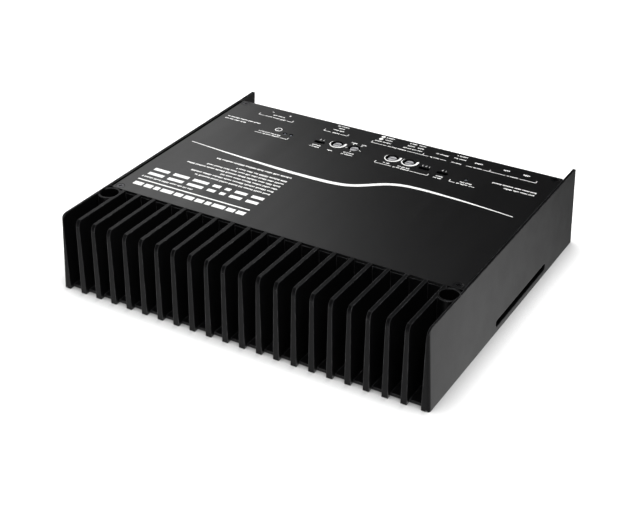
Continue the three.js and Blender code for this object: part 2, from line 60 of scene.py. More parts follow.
CAMERA_PLACE = Vector((0.36305, -0.6232, 0.4390))
CAMERA_AZIMUTH = 30.53
CAMERA_ELEVATION = 30.90
CAMERA_ROLL = -0.23
CAMERA_LENS = 71.84
SENSOR_WIDTH = 36.0

FLOOR_PROFILE = [(0.8, 0.0), (2.8, 0.0)]  # radius and height of each ring of the paper
WALL_PROFILE = [(2.8, 0.0), (3.5, 0.02), (3.85, 0.1), (4.0, 0.3), (4.05, 0.7), (4.05, 1.2)]
CARD_PROFILE = [(0.8, -MM), (2.8, -MM)]
CONTACT_REACH = 22 * MM  # how far the soft shadow under the edges spreads


def make_camera():
    data = bpy.data.cameras.new("camera")
    data.lens = CAMERA_LENS
    data.sensor_width = SENSOR_WIDTH
    data.clip_start = 0.01
    camera = bpy.data.objects.new("camera", data)
    bpy.context.scene.collection.objects.link(camera)
    turn = Matrix.Rotation(math.radians(CAMERA_AZIMUTH), 4, "Z")
    tilt = Matrix.Rotation(math.radians(90 - CAMERA_ELEVATION), 4, "X")
    roll = Matrix.Rotation(math.radians(CAMERA_ROLL), 4, "Z")
    camera.matrix_world = Matrix.Translation(CAMERA_PLACE) @ turn @ tilt @ roll
    bpy.context.scene.camera = camera


def make_light(name, place, aim, size, power, reflected=True):
    data = bpy.data.lights.new(name, "AREA")
    data.shape = "RECTANGLE"
    data.size, data.size_y = size
    data.energy = power
    light = bpy.data.objects.new(name, data)
    bpy.context.scene.collection.objects.link(light)
    light.location = place
    light.rotation_euler = (Vector(aim) - Vector(place)).to_track_quat("-Z", "Y").to_euler()
    light.visible_glossy = reflected


def swept_paper(name, profile, filled, material):
    """A round sheet of paper around the object, closed at its middle or left open there."""
    steps = 64
    angles = [math.tau * i / steps for i in range(steps)]
    mesh = bmesh.new()
    rings = [
        [mesh.verts.new((radius * math.cos(a), radius * math.sin(a), height)) for a in angles]
        for radius, height in profile
    ]
    if filled:
        mesh.faces.new(rings[0])
    for inner, outer in zip(rings, rings[1:]):
        for i in range(steps):
            j = (i + 1) % steps
            mesh.faces.new((inner[i], outer[i], outer[j], inner[j]))
    for face in mesh.faces:
        face.smooth = True
    sheet = bpy.data.meshes.new(name)
    mesh.to_mesh(sheet)
    mesh.free()
    sheet.materials.append(material)
    paper = bpy.data.objects.new(name, sheet)
    bpy.context.scene.collection.objects.link(paper)
    return paper


def from_middle(material):
    """The distance from the middle of the stage, as a socket."""
    length = material.add("ShaderNodeVectorMath", operation="LENGTH")
    material.link(material.place, length.inputs[0])
    return length.outputs["Value"]


def glowing(material, strength):
    material.shader.inputs["Emission Color"].default_value = (1, 1, 1, 1)
    material.link(strength, material.shader.inputs["Emission Strength"])
    return material.data


def white_paper():
    """Matt paper with a soft contact shadow, and a glow that keeps it white far from the light."""
    paper = NodeMaterial("white_paper", (0.9, 0.9, 0.9), 0.9)
    paper.shader.inputs["Specular IOR Level"].default_value = 0.1
    contact = paper.add("ShaderNodeAmbientOcclusion", samples=8)
    contact.inputs["Distance"].default_value = CONTACT_REACH
    fibres = paper.blend(paper.noise(40, 4), (0.89, 0.89, 0.89), (0.91, 0.91, 0.91))
    paper.colored(paper.blend(contact.outputs["AO"], (0.0, 0.0, 0.0), fibres))
    return glowing(paper, paper.spread(from_middle(paper), 0.6, 2.0, 0.1, 0.85))


def bounce_paper():
    """What the black paint mirrors below the horizon: white, and brightest close to the object."""
    paper = NodeMaterial("bounce_paper", (0.0, 0.0, 0.0), 1.0)
    paper.shader.inputs["Specular IOR Level"].default_value = 0
    return glowing(paper, paper.spread(from_middle(paper), 0.15, 0.4, 1.6, 0.85))


def make_studio():
    paper = white_paper()
    floor = swept_paper("paper_floor", FLOOR_PROFILE, True, paper)
    wall = swept_paper("paper_wall", WALL_PROFILE, False, paper)
    bounce = swept_paper("bounce_card", CARD_PROFILE, True, bounce_paper())
    # Reflections see the bounce card instead of the paper, so the contact shadow isn't in them.
    for sheet in (floor, wall):
        sheet.visible_glossy = False
        sheet.visible_shadow = False
    bounce.visible_camera = False
    bounce.visible_diffuse = False
    bounce.visible_shadow = False

    world = bpy.data.worlds.new("studio")
    world.use_nodes = True
    background = world.node_tree.nodes["Background"]
    background.inputs["Color"].default_value = (1, 1, 1, 1)
    background.inputs["Strength"].default_value = 0.02
    bpy.context.scene.world = world

    make_light("overhead", (0.1, -0.1, 1.9), (0, 0, 0), (2.2, 2.2), 72, reflected=False)
    make_light("left_softbox", (-1.2, 0.66, 0.93), (0, 0.02, 0.03), (1.5, 0.95), 7)
    bpy.context.scene.view_settings.view_transform = "Standard"


# ---- Node materials --------------------------------------------------------------------------------


class NodeMaterial:
    """A Principled material being built, whose textures follow the piece's own coordinates."""

    def __init__(self, name, color, roughness, metallic=0.0):
        self.data = bpy.data.materials.new(name)
        self.data.use_nodes = True
        self.tree = self.data.node_tree
        self.shader = self.tree.nodes["Principled BSDF"]
        self.shader.inputs["Base Color"].default_value = (*color, 1)
        self.shader.inputs["Roughness"].default_value = roughness
        self.shader.inputs["Metallic"].default_value = metallic
        self.place = self.add("ShaderNodeTexCoord").outputs["Object"]

    def add(self, kind, **values):
        node = self.tree.nodes.new(kind)
        for name, value in values.items():
            setattr(node, name, value)
        return node

    def link(self, source, target):
        self.tree.links.new(source, target)

    def noise(self, scale, detail=2.0, stretch=None):
        """Fractal noise; scale is in cells per metre, and stretch scales each axis."""
        node = self.add("ShaderNodeTexNoise")
        node.inputs["Scale"].default_value = scale
        node.inputs["Detail"].default_value = detail
        if stretch is None:
            self.link(self.place, node.inputs["Vector"])
        else:
            mapping = self.add("ShaderNodeMapping")
            mapping.inputs["Scale"].default_value = stretch
            self.link(self.place, mapping.inputs["Vector"])
            self.link(mapping.outputs["Vector"], node.inputs["Vector"])
        return node.outputs["Fac"]

    def spread(self, value, low, high, to_low, to_high):
        """Maps value from low..high to to_low..to_high, clamped."""
        node = self.add("ShaderNodeMapRange")
        for name, number in zip(("From Min", "From Max", "To Min", "To Max"), (low, high, to_low, to_high)):
            node.inputs[name].default_value = number
        self.link(value, node.inputs["Value"])
        return node.outputs["Result"]

    def math(self, operation, first, second):
        node = self.add("ShaderNodeMath", operation=operation)
        for socket, value in zip(node.inputs, (first, second)):
            if isinstance(value, (int, float)):
                socket.default_value = value
            else:
                self.link(value, socket)
        return node.outputs["Value"]

    def blend(self, factor, first, second):
        """Mixes two colours, each given as a tuple or a socket."""
        node = self.add("ShaderNodeMix", data_type="RGBA")
        self.link(factor, node.inputs["Factor"])
        for socket, value in zip((node.inputs[6], node.inputs[7]), (first, second)):
            if isinstance(value, tuple):
                socket.default_value = (*value, 1)
            else:
                self.link(value, socket)
        return node.outputs[2]

    def rounded(self, radius):
        """The surface normal with every edge rounded to a radius."""
        bevel = self.add("ShaderNodeBevel", samples=6)
        bevel.inputs["Radius"].default_value = radius
        return bevel.outputs["Normal"]

    def edges(self, rounded):
        """1 on an outer edge, where the lighter line of wear and painted highlight goes, and 0 elsewhere,
        from how far a rounded normal leaves the true one.
        """
        geometry = self.add("ShaderNodeNewGeometry")
        dot = self.add("ShaderNodeVectorMath", operation="DOT_PRODUCT")
        self.link(rounded, dot.inputs[0])
        self.link(geometry.outputs["Normal"], dot.inputs[1])
        return self.spread(dot.outputs["Value"], 0.995, 0.9, 0, 1)

    def bumps(self, *layers, normal=None):
        """Stacks (height socket, depth in metres) layers of surface relief, on a normal if one is given."""
        for height, depth in layers:
            bump = self.add("ShaderNodeBump")
            bump.inputs["Strength"].default_value = 1
            bump.inputs["Distance"].default_value = depth
            self.link(height, bump.inputs["Height"])
            if normal is not None:
                self.link(normal, bump.inputs["Normal"])
            normal = bump.outputs["Normal"]
        self.link(normal, self.shader.inputs["Normal"])

    def colored(self, socket):
        self.link(socket, self.shader.inputs["Base Color"])

    def roughened(self, socket):
        self.link(socket, self.shader.inputs["Roughness"])


# Along Y, where the casting's coat goes from its glossier finned side to its duller connector side.
COAT_START, COAT_END = -0.06, 0.11


def lighter(color, factor):
    return tuple(min(1.0, channel * factor) for channel in color)


def casting_paint():
    """Satin black coat over a die casting: orange peel, fine grain, and a lighter line painted along the
    edges, partly wear and partly a painted highlight.
    """
    base = (0.0030, 0.0030, 0.0032)
    paint = NodeMaterial("casting_paint", base, 0.42)
    paint.shader.inputs["IOR"].default_value = 1.25
    depth = paint.add("ShaderNodeSeparateXYZ")
    paint.link(paint.place, depth.inputs["Vector"])
    gloss = paint.spread(depth.outputs["Y"], COAT_START, COAT_END, 0.24, 0.12)
    paint.link(gloss, paint.shader.inputs["Specular IOR Level"])
    cloud = paint.noise(18, 3)
    color = paint.blend(paint.spread(cloud, 0.3, 0.7, 0, 1), lighter(base, 0.8), lighter(base, 1.3))
    rounded = paint.rounded(0.7 * MM)
    # A lighter colour along every outer edge, broken up by noise: part wear, part painted highlight of the
    # rounded edges.
    wear_and_highlight_patches = paint.spread(paint.noise(260, 4), 0.45, 0.7, 0.3, 1)
    wear_and_highlight = paint.math("MULTIPLY", paint.edges(rounded), wear_and_highlight_patches)
    paint.colored(paint.blend(wear_and_highlight, color, (0.07, 0.07, 0.072)))
    patches = paint.spread(paint.noise(90, 4), 0.3, 0.7, -0.02, 0.02)
    dullness = paint.spread(depth.outputs["Y"], COAT_START, COAT_END, 0.33, 0.50)
    paint.roughened(paint.math("ADD", patches, dullness))
    orange_peel, grain = paint.noise(700, 2), paint.noise(3200, 2)
    paint.bumps((orange_peel, 0.02 * MM), (grain, 0.01 * MM), normal=rounded)
    return paint.data


def sheet_paint(name="sheet_paint", base=(0.0030, 0.0030, 0.0032), roughness=0.36):
    """Satin black powder coat on sheet metal: an even fine grain with faint rolling marks."""
    paint = NodeMaterial(name, base, roughness)
    cloud = paint.noise(9, 2)
    color = paint.blend(paint.spread(cloud, 0.35, 0.65, 0, 1), lighter(base, 0.9), lighter(base, 1.15))
    rounded = paint.rounded(0.3 * MM)
    # A lighter colour along every outer edge, broken up by noise: part wear, part painted highlight of the
    # rounded edges.
    wear_and_highlight_patches = paint.spread(paint.noise(400, 3), 0.5, 0.7, 0.1, 0.8)
    wear_and_highlight = paint.math("MULTIPLY", paint.edges(rounded), wear_and_highlight_patches)
    paint.colored(paint.blend(wear_and_highlight, color, (0.05, 0.05, 0.052)))
    streaks = paint.noise(60, 3, stretch=(1.0, 0.08, 1.0))
    paint.roughened(paint.spread(streaks, 0.3, 0.7, roughness - 0.03, roughness + 0.04))
    coat, grain = paint.noise(1500, 2), paint.noise(4500, 1)
    paint.bumps((coat, 0.018 * MM), (grain, 0.008 * MM), normal=rounded)
    return paint.data


def moulded_plastic(name, base, roughness=0.5, grain=2200, depth=0.012):
    """Moulded plastic with a spark-eroded grain and slight swirls of colour."""
    plastic = NodeMaterial(name, base, roughness)
    swirl = plastic.noise(120, 3)
    plastic.colored(
        plastic.blend(plastic.spread(swirl, 0.35, 0.65, 0, 1), lighter(base, 0.85), lighter(base, 1.2))
    )
    plastic.roughened(plastic.spread(plastic.noise(500, 2), 0.3, 0.7, roughness - 0.06, roughness + 0.08))
    plastic.bumps((plastic.noise(grain, 2), depth * MM))
    return plastic.data


def plated_metal(name, base, roughness=0.28, stretch=(1.0, 1.0, 0.06)):
    """Plated or machined metal with fine tool marks and uneven brightness."""
    metal = NodeMaterial(name, base, roughness, metallic=1.0)
    tarnish = metal.noise(160, 4)
    metal.colored(
        metal.blend(metal.spread(tarnish, 0.35, 0.7, 0, 1), lighter(base, 1.08), lighter(base, 0.7))
    )
    marks = metal.noise(2600, 3, stretch=stretch)
    metal.roughened(metal.spread(marks, 0.3, 0.7, roughness - 0.07, roughness + 0.12))
    metal.bumps((marks, 0.006 * MM))
    return metal.data


def white_ink():
    """Screen-printed white ink, a little uneven where the coat's grain shows through."""
    ink = NodeMaterial("white_ink", (0.78, 0.78, 0.77), 0.5)
    speckle = ink.noise(2400, 2)
    ink.colored(ink.blend(ink.spread(speckle, 0.3, 0.6, 0, 1), (0.62, 0.62, 0.61), (0.82, 0.82, 0.81)))
    ink.bumps((ink.noise(2600, 2), 0.01 * MM))
    return ink.data


def enamelled_winding():
    """Copper wire turns, laid side by side around a ring."""
    wire = NodeMaterial("enamelled_winding", (0.55, 0.2, 0.07), 0.25, metallic=0.85)
    wave = wire.add("ShaderNodeTexWave", wave_type="RINGS", rings_direction="Z")
    wave.inputs["Scale"].default_value = 140
    wave.inputs["Distortion"].default_value = 0.6
    wire.link(wire.place, wave.inputs["Vector"])
    wire.colored(wire.blend(wave.outputs["Fac"], (0.2, 0.06, 0.02), (0.62, 0.25, 0.09)))
    wire.bumps((wave.outputs["Fac"], 0.3 * MM))
    return wire.data


def circuit_board():
    """Green solder mask with copper tracks under it and a fine glass weave."""
    board = NodeMaterial("circuit_board", (0.02, 0.12, 0.05), 0.3)
    tracks = board.add("ShaderNodeTexBrick")
    tracks.inputs["Scale"].default_value = 90
    tracks.inputs["Mortar Size"].default_value = 0.03
    board.link(board.place, tracks.inputs["Vector"])
    patches = board.spread(board.noise(60, 1), 0.48, 0.52, 0, 1)
    mask = board.math("MULTIPLY", tracks.outputs["Fac"], patches)
    board.colored(board.blend(mask, (0.014, 0.10, 0.04), (0.05, 0.22, 0.08)))
    board.bumps((board.noise(3000, 1), 0.01 * MM), (mask, 0.03 * MM))
    return board.data


def silicone_pad():
    pad = NodeMaterial("silicone_pad", (0.4, 0.39, 0.35), 0.8)
    pad.colored(pad.blend(pad.noise(700, 3), (0.36, 0.35, 0.31), (0.46, 0.45, 0.41)))
    pad.bumps((pad.noise(1800, 2), 0.03 * MM))
    return pad.data


def capacitor_sleeve():
    sleeve = NodeMaterial("capacitor_sleeve", (0.02, 0.02, 0.045), 0.3)
    sleeve.colored(sleeve.blend(sleeve.noise(80, 2), (0.015, 0.015, 0.035), (0.03, 0.03, 0.06)))
    sleeve.bumps((sleeve.noise(260, 3), 0.04 * MM))
    return sleeve.data


def lamp_lens():
    """A clear light pipe that looks dark when it isn't lit."""
    lens = NodeMaterial("lamp_lens", (0.10, 0.11, 0.12), 0.12)
    lens.colored(lens.blend(lens.noise(300, 2), (0.07, 0.08, 0.09), (0.14, 0.15, 0.17)))
    lens.shader.inputs["Coat Weight"].default_value = 0.6
    lens.bumps((lens.noise(900, 2), 0.005 * MM))
    return lens.data


MATERIALS = {
    "chassis_black": casting_paint(),
    "cover_black": sheet_paint(),
    "plate_black": sheet_paint("plate_paint", (0.012, 0.012, 0.0125), 0.5),
    "screw_black": plated_metal("black_oxide", (0.09, 0.09, 0.095), 0.35),
    "circuit_board": circuit_board(),
    "winding": enamelled_winding(),
    "capacitor_sleeve": capacitor_sleeve(),
    "device_black": moulded_plastic("device_resin", (0.02, 0.02, 0.021), 0.5),
    "thermal_pad": silicone_pad(),
    "steel": plated_metal("zinc_plate", (0.55, 0.56, 0.58), 0.3),
    "brass": plated_metal("gold_plate", (0.78, 0.56, 0.24), 0.22),
    "black_plastic": moulded_plastic("black_plastic", (0.012, 0.012, 0.013), 0.45),
    "dial_grey": moulded_plastic("dial_grey", (0.26, 0.26, 0.27), 0.42),
    "lamp_lens": lamp_lens(),
}
WHITE_INK = white_ink()
WHITE_INSERT = moulded_plastic("white_insert", (0.72, 0.72, 0.70), 0.4)
RED_INSERT = moulded_plastic("red_insert", (0.42, 0.012, 0.012), 0.4)


# ---- CAD nodes -------------------------------------------------------------------------------------

EDGE_ANGLE = math.radians(32)


def shading_nodes():
    """A modifier's node group that smooths faces and keeps edges over EDGE_ANGLE sharp."""
    group = bpy.data.node_groups.new("smooth_by_angle", "GeometryNodeTree")
    group.interface.new_socket("Geometry", in_out="INPUT", socket_type="NodeSocketGeometry")
    group.interface.new_socket("Geometry", in_out="OUTPUT", socket_type="NodeSocketGeometry")
    nodes, links = group.nodes, group.links
    start = nodes.new("NodeGroupInput")
    end = nodes.new("NodeGroupOutput")
    faces = nodes.new("GeometryNodeSetShadeSmooth")
    faces.domain = "FACE"
    edges = nodes.new("GeometryNodeSetShadeSmooth")
    edges.domain = "EDGE"
    angle = nodes.new("GeometryNodeInputMeshEdgeAngle")
    flat = nodes.new("FunctionNodeCompare")
    flat.data_type = "FLOAT"
    flat.operation = "LESS_THAN"
    flat.inputs["B"].default_value = EDGE_ANGLE
    links.new(start.outputs[0], faces.inputs["Geometry"])
    links.new(faces.outputs[0], edges.inputs["Geometry"])
    links.new(angle.outputs["Unsigned Angle"], flat.inputs["A"])
    links.new(flat.outputs["Result"], edges.inputs["Shade Smooth"])
    links.new(edges.outputs[0], end.inputs[0])
    return group


SMOOTH_BY_ANGLE = shading_nodes()


def soften(piece, width, segments=2):
    """Joins split corners and flat faces, rounds sharp edges and smooths round faces, all as modifiers."""
    weld = piece.modifiers.new("weld", "WELD")
    weld.merge_threshold = 1e-6
    planes = piece.modifiers.new("planes", "DECIMATE")
    planes.decimate_type = "DISSOLVE"
    planes.angle_limit = math.radians(0.2)
    smooth = piece.modifiers.new("smooth_by_angle", "NODES")
    smooth.node_group = SMOOTH_BY_ANGLE
    if width:
        bevel = piece.modifiers.new("edge_round", "BEVEL")
        bevel.width = width
        bevel.segments = segments
        bevel.limit_method = "ANGLE"
        bevel.angle_limit = EDGE_ANGLE
        bevel.use_clamp_overlap = True
        bevel.harden_normals = True
    flats = piece.modifiers.new("flat_faces", "WEIGHTED_NORMAL")
    flats.mode = "FACE_AREA"
    flats.weight = 90
    flats.keep_sharp = True


EDGE_ROUNDS = {
    "chassis_black": 0.35 * MM,
    "cover_black": 0.15 * MM,
    "plate_black": 0.2 * MM,
    "steel": 0.1 * MM,
    "black_plastic": 0.12 * MM,
    "dial_grey": 0.12 * MM,
    "device_black": 0.2 * MM,
    "circuit_board": 0.1 * MM,
}


def finish_nodes():
    for entry in frame["record"]["subparts"]:
        piece = frame["nodes"][entry["node"]]
        slot = entry["material_slot"]
        piece.data.materials.clear()
        piece.data.materials.append(MATERIALS[slot])
        soften(piece, EDGE_ROUNDS.get(slot, 0))


# ---- New pieces ------------------------------------------------------------------------------------


def make_piece(name, mesh_data, material, body=BODY):
    bmesh.ops.recalc_face_normals(mesh_data, faces=mesh_data.faces[:])
    mesh = bpy.data.meshes.new(name)
    mesh_data.to_mesh(mesh)
    mesh_data.free()
    mesh.materials.append(material)
    piece = bpy.data.objects.new(name, mesh)
    bpy.context.scene.collection.objects.link(piece)
    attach(piece, body)
    return piece


HALF_LINE = 0.22  # half the width of a printed rule, in millimetres


class Print:
    """White marks on the cover. Places are in millimetres; text reads upright from the connector side,
    so it runs towards -X and its top is towards -Y."""

    def __init__(self, height, seed=4):
        self.bottom = height + INK_LIFT
        self.mesh = bmesh.new()
        self.random = random.Random(seed)

    def outline(self, points):
        """A flat mark with the given outline, in order either way round."""
        flat = [Vector((x * MM, y * MM, self.bottom)) for x, y in points]
        area = sum(a.x * b.y - b.x * a.y for a, b in zip(flat, flat[1:] + flat[:1]))
        if area < 0:
            flat.reverse()
        low = [self.mesh.verts.new(p) for p in flat]
        high = [self.mesh.verts.new(p + Vector((0, 0, INK_THICKNESS))) for p in flat]
        self.mesh.faces.new(high)
        self.mesh.faces.new(low[::-1])
        for i in range(len(flat)):
            j = (i + 1) % len(flat)
            self.mesh.faces.new((low[i], low[j], high[j], high[i]))

    def bar(self, x0, x1, y0, y1):
        self.outline([(x0, y0), (x1, y0), (x1, y1), (x0, y1)])

    def stroke(self, points, widths):
        """A line through points, with a width at each."""
        left, right = [], []
        for i, (x, y) in enumerate(points):
            before, after = points[max(i - 1, 0)], points[min(i + 1, len(points) - 1)]
            along = Vector((after[0] - before[0], after[1] - before[1])).normalized()
            side = Vector((-along.y, along.x)) * widths[i] / 2
            left.append((x + side.x, y + side.y))
            right.append((x - side.x, y - side.y))
        self.strip(left, right)

    def strip(self, left, right):
        """A band between two lines of points, closed underneath, as one mesh of quads."""
        levels = []
        for lift in (0, INK_THICKNESS):
            z = self.bottom + lift
            levels.append(
                [[self.mesh.verts.new((x * MM, y * MM, z)) for x, y in line] for line in (left, right)]
            )
        (low_l, low_r), (high_l, high_r) = levels
        last = len(left) - 1
        quads = []
        for i in range(last):
            quads.append((high_l[i], high_r[i], high_r[i + 1], high_l[i + 1]))
            quads.append((low_l[i], low_l[i + 1], low_r[i + 1], low_r[i]))
            quads.append((low_l[i], high_l[i], high_l[i + 1], low_l[i + 1]))
            quads.append((low_r[i], low_r[i + 1], high_r[i + 1], high_r[i]))
        quads.append((low_l[0], low_r[0], high_r[0], high_l[0]))
        quads.append((low_l[last], high_l[last], high_r[last], low_r[last]))
        for quad in quads:
            self.mesh.faces.new(quad)

    def words(self, x, y, width, height=1.3, align="centre"):
        """A line of blank text of about that width: blocks for letters, with gaps between words."""
        right = {"centre": x + width / 2, "left": x, "right": x + width}[align]
        end = right - width
        at = right
        left_in_word = self.random.randint(3, 7)
        while at - end > height * 0.3:
            letter = height * self.random.uniform(0.38, 0.62)
            tall = self.random.random() < 0.35
            low = y + height / 2
            high = y - height / 2 if tall else y - height * 0.22
            self.bar(max(at - letter, end), at, high, low)
            at -= letter + height * 0.2
            left_in_word -= 1
            if left_in_word == 0:
                at -= height * 0.45
                left_in_word = self.random.randint(3, 7)

    def bracket(self, x0, x1, y, ticks=(), title=0.0, drop=2.6):
        """A thin line from x0 to x1 with a gap for its title, and short legs towards +Y."""
        middle = (x0 + x1) / 2
        gap = title / 2 + 0.9 if title else 0
        self.bar(x0, middle + gap, y - HALF_LINE, y + HALF_LINE)
        self.bar(middle - gap, x1, y - HALF_LINE, y + HALF_LINE)
        if title:
            self.words(middle, y, title)
        for x in ticks:
            self.bar(x - HALF_LINE, x + HALF_LINE, y, y + drop)

    def crescent(self, x, y, inner, outer):
        """A band round a dial that swells from nothing to full width, open towards +Y."""
        steps, start, sweep, thinnest = 30, -205, 230, 0.15
        inside, outside = [], []
        for i in range(steps + 1):
            share = i / steps
            angle = math.radians(start + sweep * share)
            swell = inner + (outer - inner) * (thinnest + (1 - thinnest) * share)
            inside.append((x + inner * math.cos(angle), y + inner * math.sin(angle)))
            outside.append((x + swell * math.cos(angle), y + swell * math.sin(angle)))
        self.strip(inside[::-1], outside[::-1])

    def ring(self, x, y, inner, outer, steps=24):
        angles = [math.tau * i / steps for i in range(steps + 1)]
        inside = [(x + inner * math.cos(a), y + inner * math.sin(a)) for a in angles]
        outside = [(x + outer * math.cos(a), y + outer * math.sin(a)) for a in angles]
        self.strip(inside, outside)

    def ray(self, x, y, angle, start, end, width=0.45):
        direction = Vector((math.cos(angle), math.sin(angle)))
        points = [(x + direction.x * r, y + direction.y * r) for r in (start, end)]
        self.stroke(points, (width, width))

    def plus(self, x, y, size=1.8):
        clear = HALF_LINE + 0.02
        self.minus(x, y, size)
        self.bar(x - HALF_LINE, x + HALF_LINE, y - size / 2, y - clear)
        self.bar(x - HALF_LINE, x + HALF_LINE, y + clear, y + size / 2)

    def minus(self, x, y, size=1.8):
        self.bar(x - size / 2, x + size / 2, y - HALF_LINE, y + HALF_LINE)

    def digit(self, text, x, y, size=2.2):
        """A numeral in Blender's own plain font."""
        curve = bpy.data.curves.new("digit", "FONT")
        curve.body = text
        curve.size = size * MM
        curve.align_x = "CENTER"
        curve.align_y = "CENTER"
        curve.extrude = INK_THICKNESS / 2
        curve.resolution_u = 2
        carrier = bpy.data.objects.new("digit", curve)
        shape = bpy.data.meshes.new_from_object(carrier)
        place = Matrix.Translation((x * MM, y * MM, self.bottom + INK_THICKNESS / 2))
        shape.transform(place @ Matrix.Rotation(math.pi, 4, "Z"))
        self.mesh.from_mesh(shape)
        bpy.data.objects.remove(carrier)
        bpy.data.curves.remove(curve)
        bpy.data.meshes.remove(shape)


ACCENT_ENDS = (116.0, -118.0)
ACCENT_STEP = {"x": 20, "softness": 7}
ACCENT_LEVELS = (34.9, 13.2)  # before and after the step
ACCENT_WIDTHS = (0.6, 2.6)  # at its ends, and what its middle adds
# Outside these places the accent bows off its level: from x, by depth over length.
START_BOW = {"x": 40, "depth": 4.6, "length": 77, "power": 2}
END_BOW = {"x": -30, "depth": 5.9, "length": 89, "power": 1.4}


def bow(shape, past):
    return shape["depth"] * (max(past, 0) / shape["length"]) ** shape["power"]


def accent_points():
    """The centre line of the accent: nearly level on each side, with one smooth step in the middle."""
    start, end = ACCENT_ENDS
    steps = 90
    points, widths = [], []
    for i in range(steps + 1):
        share = i / steps
        x = start + (end - start) * share
        before = ACCENT_LEVELS[0] - bow(START_BOW, x - START_BOW["x"])
        after = ACCENT_LEVELS[1] + bow(END_BOW, END_BOW["x"] - x)
        step = 1 / (1 + math.exp((x - ACCENT_STEP["x"]) / ACCENT_STEP["softness"]))
        points.append((x, before + (after - before) * step))
        widths.append(ACCENT_WIDTHS[0] + ACCENT_WIDTHS[1] * math.sin(math.pi * share) ** 1.4)
    return points, widths


def control_legend(ink):
    """Marks around the dials, selector, switches and lamps."""
    dial_y = centre("gain_dial").y / MM
    title_y, label_y = dial_y - 11.6, dial_y - 9.1
    for name in ("gain_dial", "crossover_dial", "bass_dial"):
        ink.crescent(centre(name).x / MM, dial_y, 4.9, 6.6)
    gain, crossover = centre("gain_dial").x / MM, centre("crossover_dial").x / MM
    bass, selector = centre("bass_dial").x / MM, centre("selector_shaft").x / MM
    filter_x, phase_x = centre("filter_switch_body").x / MM, centre("phase_switch_body").x / MM
    remote_x = centre("remote_switch_body").x / MM
    ink.bracket(filter_x + 6, crossover - 7.6, title_y, (filter_x + 6, crossover - 7.6), title=12)
    ink.words(gain, label_y, 9)
    ink.words(crossover, label_y, 4.5)
    ink.words(bass, title_y, 4.2)
    for x, width in ((selector, 9), (remote_x, 7.4), (phase_x, 6)):
        ink.words(x, title_y, width)
        ink.words(x, title_y + 2.7, width * 0.92)
    for x, marks in ((filter_x, "321"), (phase_x, "21"), (remote_x, "21")):
        for i, mark in enumerate(marks):
            ink.digit(mark, x + (i - (len(marks) - 1) / 2) * 2.5, dial_y, 2.4)
    for i, angle in enumerate((200, 235, 270, 305, 340)):
        ink.ray(selector, dial_y, math.radians(angle - 180 if i % 2 else angle), 4.8, 6.4)
    for x in (selector - 3.6, selector + 3.6):
        ink.words(x, dial_y + 6.6, 4.4)
    power, protect = centre("power_lamp").x / MM, centre("protect_lamp").x / MM
    signal = centre("signal_lamp").x / MM
    ink.bracket(power + 0.9, power - 25.5, title_y, (power + 0.9,), title=13)
    ink.words(power - 15, title_y + 2.7, 18)
    ink.ring(protect - 7.2, dial_y - 0.9, 2.1, 2.6)
    ink.bar(protect - 7.45, protect - 6.95, dial_y - 3.9, dial_y - 1.2)
    ink.bracket(signal + 9.2, signal - 8.8, title_y, (signal - 8.8,), title=8)
    ink.words(signal + 1.5, title_y + 2.7, 9)


def connector_legend(ink):
    """Brackets and labels along the back edge, over the connectors behind it."""
    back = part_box("top_cover")[1].y / MM
    line_y, label_y = back - 14.4, back - 7.8
    half_pitch = 7.1  # from a terminal block's middle to each of its two ways
    power, speaker = centre("power_terminal_block").x / MM, centre("speaker_terminal_block").x / MM
    remote, inputs = centre("remote_plug").x / MM, centre("speaker_input_plug").x / MM
    ink.bracket(power + 16, remote + 8.6, line_y, (power + 16, remote + 8.6), title=8)
    ink.bracket(remote + 8.6, remote - 8, line_y, (), title=6)
    ink.words(power + half_pitch, label_y, 4.6, 1.7)
    ink.words(power - half_pitch, label_y, 4.6, 1.7)
    ink.words(remote - 2, label_y, 6, 1.5)
    level, link = centre("level_jack").x / MM, centre("link_jack").x / MM
    ink.words(level, line_y, 7.4)
    ink.words(level, label_y, 8.8)
    ink.words(level, back - 3.6, 7.6)
    ink.words(link, label_y, 9)
    phono_in, phono_out = centre("phono_input_upper").x / MM, centre("phono_output_upper").x / MM
    ink.bracket(link + 6, phono_in + 8.8, line_y, (phono_in + 8.8,), title=7)
    ink.bracket(phono_in + 8.8, phono_out - 8, line_y, (phono_out - 8,), title=14)
    for x, width in ((phono_in, 15), (phono_out, 12)):
        ink.words(x - 1, back - 10.4, width)
    for y in (back - 6.6, back - 2.9):
        ink.words(phono_in + 3.4, y, 5)
        ink.words(phono_in - 3.6, y, 5.6)
        ink.words(phono_out + 1.2, y, 6)
        ink.ring(phono_out - 4.4, y, 0.4, 1.5)
    ink.bracket(inputs + 9.4, inputs - 9.4, line_y, (inputs + 9.4, inputs - 9.4), title=6)
    for y, width in ((back - 9.8, 8.6), (back - 6.3, 5.6), (back - 3, 9.4)):
        ink.words(inputs, y, width)
    ink.bracket(speaker + 13.4, speaker - 14.6, line_y, (speaker + 13.4, speaker - 14.6), title=17)
    ink.words(speaker, back - 10.6, 10)
    ink.plus(speaker + half_pitch, back - 6.4)
    ink.minus(speaker - half_pitch, back - 6.4)


def block_row(ink, left, widths, gap, rows):
    """Blank blocks side by side, in one or more rows given by their two edges."""
    at = left
    for width in widths:
        for low, high in rows:
            ink.bar(at - width, at, low, high)
        at -= width + gap


def maker_block(ink):
    """Blank blocks where a name, a title and a paragraph would be."""
    left, right = -29.5, -116.5
    paragraph_start, line_pitch, last_line_gap = -20.4, 4.1, 1.6
    block_row(ink, left, (6, 6, 9, 4, 6, 7, 6, 9, 4, 6, 7), 1.6, [(-51.4, -47.4)])
    ink.bar(right, left, -44.4, -43.2)
    ink.words(-76.5, -39.4, 40, 1.6, align="left")
    block_row(ink, left, (9, 9, 4, 6, 12, 12, 12), 3.6, [(-35.8, -32.6), (-29.2, -26.0)])
    lines = (59, 65, 44, 74, 61, 39, 59)
    for i, width in enumerate(lines):
        y = paragraph_start + i * line_pitch + (last_line_gap if i == len(lines) - 1 else 0)
        ink.words(left, y, width, 1.7, align="left")


